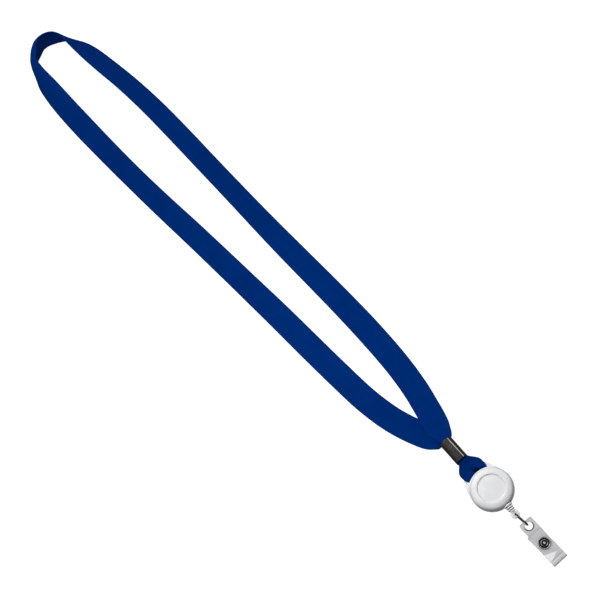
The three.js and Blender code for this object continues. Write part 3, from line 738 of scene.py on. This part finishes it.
def crimp_sleeve():
    """A tube along X whose ends lean, so that its upper side sits further back than its lower side."""
    outer, inner, half, lean = 5.1, 4.6, 9.2, 0.2
    profile = rounded([(inner, -half), (outer, -half), (outer, half), (inner, half)], 0.25, closed=True)
    mesh = lathe("crimp", profile, 96, closed=True)
    mesh.transform(Matrix.Rotation(math.pi / 2, 4, "Y"))
    map_from(mesh, lambda x, y, z: (x, y))
    for vertex in mesh.vertices:
        vertex.co.x -= lean * max(0.0, vertex.co.z)
    shade(mesh, 50)
    piece = put(new_piece("crimp", mesh), CRIMP_PLACE)
    finish(piece, CRIMP, "crimp_metal", "crimp_sleeve")
    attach(piece, "strap")


crimp_sleeve()

# ---------------------------------------------------------------- reel

CORD_HEIGHT = 4.2  # of the cord's line above the surface
SEAT = 15.5  # from the reel's centre to the flat that the end fitting stops at
CORD_YAW = -5
REEL_PLACE = place(*REEL)
EXIT_PLACE = REEL_PLACE @ place(SEAT, 0, CORD_HEIGHT, CORD_YAW)


def exit_cutters():
    """The flat seat on the case's side and the hole that the cord comes out of."""
    seat = cutter(block((4, 7.8, 8.2), (SEAT + 2, 0, 3.8)))
    hole = lathe("hole", [(0, -3), (0.95, -3), (0.95, 3), (0, 3)], 32)
    hole.transform(Matrix.Rotation(math.pi / 2, 4, "Y"))
    return [seat, cutter(hole, place(SEAT, 0, CORD_HEIGHT, CORD_YAW))]


def front_cover():
    """The white dome with its round label recess, hollow below."""
    profile = rounded([
        (0, 8.3), (13.6, 8.3), (14.4, 7.7), (14.6, 3.35), (16.1, 3.35), (15.75, 6.3), (15.65, 7.5),
        (15.25, 8.45), (14.4, 9.25), (13.15, 9.85), (11.75, 10.2), (10.35, 10.15), (10.1, 9.4),
        (9.8, 9.25), (7, 9.48), (3.5, 9.7), (0, 9.78),
    ], 0.5)
    mesh = lathe("reel_cover", profile, 128)
    piece = new_piece("reel_cover", mesh)
    boolean(piece, exit_cutters(), "DIFFERENCE")
    shade(piece.data, 35)
    put(piece, REEL_PLACE)
    finish(piece, REEL_WHITE, "reel_white", "reel_front_cover")
    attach(piece, "reel_case")


def arc(radius, start, end, steps):
    """Points round the reel's centre between two angles in degrees."""
    return [(radius * math.cos(a), radius * math.sin(a))
            for a in (math.radians(mix(start, end, k / steps)) for k in range(steps + 1))]


def bezier(a, b, c, steps):
    """Points along a curve from a to c that leans towards b."""
    return [tuple(a[i] * (1 - t) ** 2 + 2 * b[i] * t * (1 - t) + c[i] * t * t for i in (0, 1))
            for t in (k / steps for k in range(steps + 1))]


def flange_outline():
    """A shield: round in front and narrower, with a shallow arc, where the strap goes through."""
    spread = 29
    corner = arc(21.2, 180 - spread, 180 + spread, 40)
    side_end, bulge = (-2.0, 16.1), (-11.0, 14.9)
    low = bezier(corner[-1], (bulge[0], -bulge[1]), (side_end[0], -side_end[1]), 16)
    tangent = math.degrees(math.atan2(side_end[1], side_end[0]))
    front = arc(math.hypot(*side_end), -tangent, tangent, 72)
    high = bezier(side_end, bulge, corner[0], 16)
    return corner + low[1:] + front[1:-1] + high[:-1]


def slot_outline():
    """The slot that the strap goes through, between two arcs."""
    start, end = 180 - 32, 180 + 31.5
    return arc(18.6, start, end, 40) + arc(16.2, end, start, 40)


def back_cover():
    """A shallow cup with a centre post and the slotted flange."""
    cup = lathe("reel_back", rounded([
        (0, 0), (16.2, 0), (16.15, 3.2), (14.6, 3.2), (14.6, 1.3), (1.7, 1.3), (1.7, 8), (0, 8),
    ], 0.35), 128)
    piece = new_piece("reel_back", cup)
    flange = cutter(plate("flange", [flange_outline(), slot_outline()], 1.7, 3.2, 0.25))
    inside = cutter(lathe("inside", [(0, 1.3), (14.6, 1.3), (14.6, 5), (0, 5)], 128))
    boolean(flange, [inside], "DIFFERENCE")
    boolean(piece, [flange], "UNION")
    boolean(piece, exit_cutters(), "DIFFERENCE")
    shade(piece.data, 35)
    put(piece, REEL_PLACE)
    finish(piece, REEL_FROSTED, "reel_frosted", "reel_back_cover")
    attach(piece, "reel_case")


front_cover()
back_cover()

# ---------------------------------------------------------------- cord and its end fitting


def fitting():
    """A ribbed body with a flat ring on its end. The cord goes in through its bore to the knot's hollow."""
    core = 2.0
    profile = [(0.75, 0.5)]
    for start, end, radius in ((0.5, 1.75, 3.4), (2.5, 3.4, 2.85), (4.2, 5.1, 2.75)):
        profile += [(core, start), (radius, start), (radius, end), (core, end)]
    profile.pop(1)
    profile += [(core, 6.6), (0, 6.6), (0, 5.3), (1.35, 5.3), (1.35, 2.7), (0.75, 2.7)]
    body = lathe("fitting", rounded(profile, 0.25, closed=True, steps=3), 64, closed=True)
    body.transform(Matrix.Rotation(math.pi / 2, 4, "Y"))
    piece = new_piece("fitting", body)
    outer, inner, half = 3.3, 1.25, 0.9
    eye = lathe("eye", rounded([(0, -half), (outer, -half), (outer, half), (0, half)], 0.5), 64)
    ring = cutter(eye, place(EYE_X, 0))
    neck = cutter(block((3.0, 4.0, 2 * half), (7.0, 0, 0)))
    hole = cutter(lathe("hole", [(0, -3), (inner, -3), (inner, 3), (0, 3)], 48), place(EYE_X, 0))
    boolean(piece, [neck, ring], "UNION")
    boolean(piece, [hole], "DIFFERENCE")
    shade(piece.data, 35)
    map_from(piece.data, lambda x, y, z: (x, math.hypot(y, z)))
    put(piece, EXIT_PLACE)
    finish(piece, FITTING, "fitting_plastic", "cord_end_fitting")
    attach(piece, "cord_end")


def tube(name, centres, radius, sides=16, closed=False):
    """A round tube along points in mm that lie in one plane."""
    rows = []
    count = len(centres)
    for i, centre in enumerate(centres):
        after = centres[(i + 1) % count if closed else min(i + 1, count - 1)]
        before = centres[i - 1 if closed or i else 0]
        along = (after - before).normalized()
        side = along.cross(Vector((0, 1, 0)))
        if side.length < 0.1:
            side = along.cross(Vector((0, 0, 1)))
        side.normalize()
        other = along.cross(side)
        rows.append([tuple(centre + (side * math.cos(a) + other * math.sin(a)) * radius)
                     for a in (2 * math.pi * k / sides for k in range(sides))])
    mesh = rings(name, rows, closed_rows=closed)
    shade(mesh, 60)
    return mesh


def pulled_cord():
    """The cord from inside the case to the knot."""
    centres = [Vector((mix(-2.6, 2.7, k / 24), 0, 0)) for k in range(25)]
    piece = put(new_piece("cord", tube("cord", centres, 0.4)), EXIT_PLACE)
    finish(piece, CORD, "cord", "cord_lead")
    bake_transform(piece)


fitting()
pulled_cord()

# ---------------------------------------------------------------- wire link

LINK_YAW = 8.7
LINK_PLACE = EXIT_PLACE @ place(EYE_X, 0, -0.3, LINK_YAW)


def wire_link():
    """An endless oval that stands on edge: two straights and two half turns."""
    near, far, radius, wire = 3.1, 8.8, 3.1, 0.68
    straight, turn = 10, 32
    centres = []
    for start, end, way in ((near, far, 1), (far, near, -1)):
        centres += [Vector((mix(start, end, k / straight), 0, -way * radius)) for k in range(straight)]
        centres += [Vector((end + way * radius * math.sin(a), 0, -way * radius * math.cos(a)))
                    for a in (math.pi * k / turn for k in range(turn))]
    piece = put(new_piece("link", tube("link", centres, wire, 20, closed=True)), LINK_PLACE)
    finish(piece, WIRE, "wire_metal", "wire_link")
    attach(piece, "link")


wire_link()

# ---------------------------------------------------------------- vinyl strap and press snap

# The strap's own frame in mm: X along it from the middle of its hole, Z up from the surface.
CLIP_PLACE = EXIT_PLACE @ place(EYE_X, 0, 0, LINK_YAW) @ place(12.95, 0.2, -CORD_HEIGHT, -5.4)
FOLD_X, FOLD_Z, FOLD_R = 32.4, 4.0, 1.8
FLAP_END = 5.9
SNAP_X = 17.2
SIDE = 0.6  # how far the wide part sits to one side of the tab
VINYL_THICK = 0.6
HOLE_RADIUS = 2.9
CORNER = 1.4
BASE_STEPS, FOLD_STEPS, FLAP_STEPS = 160, 24, 120


def vinyl_track():
    """(middle, outer side, distance from the end) along the base, round the fold and back on top."""
    track = []
    for k in range(BASE_STEPS + 1):
        x = mix(-HOLE_AT, FOLD_X, k / BASE_STEPS)
        track.append((Vector((x, 0, FOLD_Z - FOLD_R)), -UP, x + HOLE_AT))
    for k in range(1, FOLD_STEPS + 1):
        a = math.pi * k / FOLD_STEPS - math.pi / 2
        out = Vector((math.cos(a), 0, math.sin(a)))
        track.append((Vector((FOLD_X, 0, FOLD_Z)) + out * FOLD_R, out, math.inf))
    for k in range(1, FLAP_STEPS + 1):
        x = mix(FOLD_X, FLAP_END, k / FLAP_STEPS)
        track.append((Vector((x, 0, FOLD_Z + FOLD_R)), UP, x - FLAP_END))
    return track


def vinyl_section(index, x, from_end):
    """(shift, half width) there: a narrow tab, a step to the wide part, and a flap slightly askew."""
    wide = smooth(x, 8.9, 9.3) if index <= BASE_STEPS else 1.0
    half = mix(5.7, 6.1, wide)
    shift = -SIDE * wide
    if index > BASE_STEPS + FOLD_STEPS:
        shift -= 0.8 * (1 - smooth(x, FLAP_END, 24))
    if from_end < CORNER:
        half -= CORNER - math.sqrt(max(0.0, CORNER ** 2 - (CORNER - from_end) ** 2))
    return shift, half


def vinyl_strap():
    """One strip: along the base from the tab, round the fold and back along the flap."""
    lanes, edge_share = 12, 0.55
    track = vinyl_track()
    skin, uvs = [], []
    travelled = 0.0
    for index, (centre, out, from_end) in enumerate(track):
        if index:
            travelled += (centre - track[index - 1][0]).length
        shift, half = vinyl_section(index, centre.x, from_end)
        row = []
        for side in (1, -1):
            for k in range(lanes + 1):
                y = shift + mix(-1, 1, k / lanes) * side * half
                share = edge_share if k in (0, lanes) else 1
                row.append(tuple(centre + Vector((0, y, 0)) + out * (side * VINYL_THICK / 2 * share)))
                uvs.append((travelled * MM, y * MM))
        skin.append(row)
    mesh = rings("badge_strap", skin, uvs=uvs)
    piece = new_piece("badge_strap", mesh)
    bm = bmesh.new()
    bm.from_mesh(mesh)
    bmesh.ops.recalc_face_normals(bm, faces=bm.faces)
    bm.to_mesh(mesh)
    bm.free()
    hole = lathe("hole", [(0, 0), (HOLE_RADIUS, 0), (HOLE_RADIUS, 4), (0, 4)], 64)
    boolean(piece, [cutter(hole)], "DIFFERENCE")
    shade(piece.data, 35)
    put(piece, CLIP_PLACE)
    finish(piece, VINYL, "vinyl", "clip_strap_base", "clip_strap_fold", "clip_strap_flap")
    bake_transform(piece)


def snap_piece(name, profile, body, node, closed=False, radius=0.12, material=SNAP):
    """One turned piece of the press snap, from its (radius, height) profile."""
    mesh = lathe(name, rounded(profile, radius, closed=closed, steps=3), 72, closed=closed)
    map_from(mesh, lambda x, y, z: (x, y))
    shade(mesh, 40)
    piece = put(new_piece(name, mesh), CLIP_PLACE @ place(SNAP_X, -SIDE))
    finish(piece, material, "snap_metal", node)
    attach(piece, body)


def snap():
    """The cap and the socket on the flap, and the stud and its post on the base."""
    snap_piece("cap", [
        (0, 4.9), (1.2, 4.9), (1.2, 6.4), (4.3, 6.4), (4.5, 6.6), (4.45, 6.95), (4.2, 7.2), (3.9, 7.05),
        (3.7, 6.65), (3.1, 6.6), (2.75, 6.75), (2.5, 7.05), (2.2, 7.05), (1.95, 6.7), (1.6, 6.6), (1.2, 6.65),
        (0.9, 7.0), (0.5, 7.1), (0.25, 6.95), (0, 6.9),
    ], "flap", "snap_cap", radius=0.15, material=CAP)
    snap_piece("socket", [
        (2.75, 3.6), (4.2, 3.6), (4.2, 5.2), (1.5, 5.2), (1.5, 4.8), (2.75, 4.8), (2.75, 4.6), (3.6, 4.6),
        (3.6, 3.9), (2.75, 3.9),
    ], "flap", "snap_socket", closed=True)
    snap_piece("stud", [
        (1.5, 2.8), (4.0, 2.8), (4.0, 3.3), (2.15, 3.3), (2.4, 4.0), (2.1, 4.5), (1.5, 4.5),
    ], "clip", "snap_stud", closed=True)
    snap_piece("post", [
        (0, 0.3), (1.0, 0.3), (1.4, 0.0), (3.0, 0.0), (3.8, 0.7), (3.8, 1.6), (1.2, 1.6), (1.2, 3.6),
        (0, 3.6),
    ], "clip", "snap_post")


vinyl_strap()
snap()

# ---------------------------------------------------------------- inner pieces kept from CAD

INNER_PIECES = {
    "spool": REEL_WHITE, "mainspring": STEEL, "cord_winding": CORD, "cord_run": CORD, "cord_knot": CORD,
    "snap_ring_spring": STEEL,
}
for name, material in INNER_PIECES.items():
    for material_slot in frame["nodes"][name].material_slots:
        material_slot.material = material

# ---------------------------------------------------------------- floor and light


def floor():
    """A plain white floor just under the lanyard. It doesn't show in the metal."""
    half, low = 9000, -0.02
    corners = [(-half, -half, low), (half, -half, low), (half, half, low), (-half, half, low)]
    mesh = mesh_from("floor", corners, [(0, 1, 2, 3)])
    n = Nodes("floor")
    n.set(Base_Color=(0.25, 0.25, 0.25, 1), Roughness=0.9, Specular_IOR_Level=0.1,
          Emission_Color=(1, 1, 1, 1), Emission_Strength=0.92)
    mesh.materials.append(n.material)
    ground = new_piece("floor", mesh)
    ground.visible_diffuse = False
    ground.visible_glossy = False


def area_light(name, location, target, size, power, size_y=None):
    """A soft panel that faces its target; metres and watts."""
    data = bpy.data.lights.new(name, "AREA")
    data.energy = power
    data.size = size
    if size_y:
        data.shape = "RECTANGLE"
        data.size_y = size_y
    light = bpy.data.objects.new(name, data)
    light.location = location
    light.rotation_euler = (Vector(target) - Vector(location)).to_track_quat("-Z", "Y").to_euler()
    bpy.context.scene.collection.objects.link(light)
    return light


def sky_range(tree, value, start, end, low, high):
    node = tree.nodes.new("ShaderNodeMapRange")
    tree.links.new(value, node.inputs["Value"])
    for name, number in (("From Min", start), ("From Max", end), ("To Min", low), ("To Max", high)):
        node.inputs[name].default_value = number
    return node.outputs[0]


def world():
    """A soft studio: brighter overhead, and darker on the +X side."""
    scene = bpy.context.scene
    scene.world = bpy.data.worlds.new("studio")
    scene.world.use_nodes = True
    tree = scene.world.node_tree
    background = tree.nodes["Background"]
    coordinates = tree.nodes.new("ShaderNodeTexCoord")
    split = tree.nodes.new("ShaderNodeSeparateXYZ")
    tree.links.new(coordinates.outputs["Generated"], split.inputs[0])
    product = tree.nodes.new("ShaderNodeMath")
    product.operation = "MULTIPLY"
    tree.links.new(sky_range(tree, split.outputs["Z"], -0.2, 0.8, 0.22, 0.75), product.inputs[0])
    tree.links.new(sky_range(tree, split.outputs["X"], -0.2, 1.0, 1.15, 0.25), product.inputs[1])
    tree.links.new(product.outputs[0], background.inputs["Strength"])
    background.inputs["Color"].default_value = (1, 1, 1, 1)
    scene.view_settings.view_transform = "Standard"
    scene.view_settings.look = "None"


floor()
world()
area_light("key", (-1.6, -0.25, 1.7), (0.0, 0, 0), 1.3, 29)
area_light("edge", (-0.074, 1.52, 0.94), (0.17, 0, 0), 0.5, 5.5, 0.4)
area_light("neck fill", (0.05, -0.1, 0.45), (-0.27, 0, 0.01), 0.25, 1.3).visible_glossy = False

# ---------------------------------------------------------------- update

bpy.context.view_layer.update()
